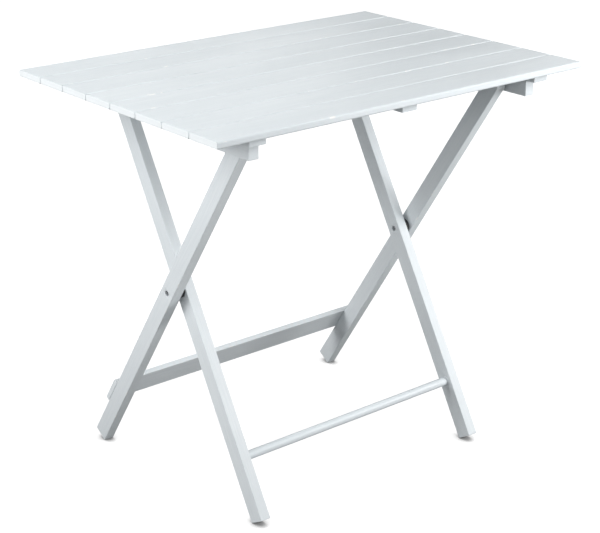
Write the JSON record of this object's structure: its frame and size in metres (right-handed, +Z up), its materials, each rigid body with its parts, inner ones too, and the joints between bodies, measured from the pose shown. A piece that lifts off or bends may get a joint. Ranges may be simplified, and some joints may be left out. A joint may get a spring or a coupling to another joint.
{
  "type": "folding picnic table",
  "caption": "Folding picnic table: a slatted rectangular top on crossing wooden leg frames, with a flat rear stretcher and a round front rung.",
  "frame": {"origin": "on the floor under the middle of the top", "axes": "+X along the slats, -Y the front edge that the outer legs are hinged at, +Z up"},
  "size_m": [0.8, 0.5796, 0.736],
  "materials": {
    "top_slats": "pale blue-white satin lacquer",
    "top_rails": "pale blue-white satin lacquer",
    "catches": "pale blue-white satin lacquer",
    "legs": "pale blue-white satin lacquer",
    "stretcher": "pale blue-white satin lacquer",
    "dowels": "pale blue-white satin lacquer",
    "bolts": "dull zinc-plated steel",
    "spacers": "matte black nylon",
    "screws": "zinc-plated steel"
  },
  "bodies": {
    "outer_frame": {"outer_leg_left": "legs", "outer_leg_right": "legs", "stretcher": "stretcher", "stretcher_screw_left_lower": "screws", "stretcher_screw_left_upper": "screws", "stretcher_screw_right_lower": "screws", "stretcher_screw_right_upper": "screws", "pivot_bolt_left": "bolts", "pivot_bolt_right": "bolts", "pivot_spacer_left": "spacers", "pivot_spacer_right": "spacers", "hinge_bolt_left": "bolts", "hinge_bolt_right": "bolts", "hinge_nut_left": "bolts", "hinge_nut_right": "bolts", "hinge_spacer_left": "spacers", "hinge_spacer_right": "spacers"},
    "inner_frame": {"inner_leg_left": "legs", "inner_leg_right": "legs", "lower_rung": "dowels", "top_bar": "dowels", "pivot_sleeve_nut_left": "bolts", "pivot_sleeve_nut_right": "bolts"},
    "tabletop": {"slat_1": "top_slats", "slat_2": "top_slats", "slat_3": "top_slats", "slat_4": "top_slats", "slat_5": "top_slats", "slat_6": "top_slats", "slat_7": "top_slats", "slat_8": "top_slats", "cleat_left": "top_rails", "cleat_middle": "top_rails", "cleat_right": "top_rails", "batten_left": "top_rails", "batten_right": "top_rails", "bar_catch_left": "catches", "bar_catch_right": "catches", "batten_screw_left_front": "screws", "batten_screw_left_middle": "screws", "batten_screw_left_rear": "screws", "batten_screw_right_front": "screws", "batten_screw_right_middle": "screws", "batten_screw_right_rear": "screws", "catch_screw_left_front": "screws", "catch_screw_left_rear": "screws", "catch_screw_right_front": "screws", "catch_screw_right_rear": "screws"}
  },
  "joints": [
    {"name": "top_hinge", "type": "hinge", "parent": "outer_frame", "child": "tabletop", "pos_m": [0, -0.19575, 0.696], "axis": [1, 0, 0], "range_deg": [0, 123]},
    {"name": "leg_pivot", "type": "hinge", "parent": "outer_frame", "child": "inner_frame", "pos_m": [0, 0.01794, 0.37408], "axis": [1, 0, 0], "range_deg": [0, 62.6]}
  ],
  "couplings": [
    {"joint": "leg_pivot", "follows": "top_hinge", "ratio": 0.5081}
  ]
}
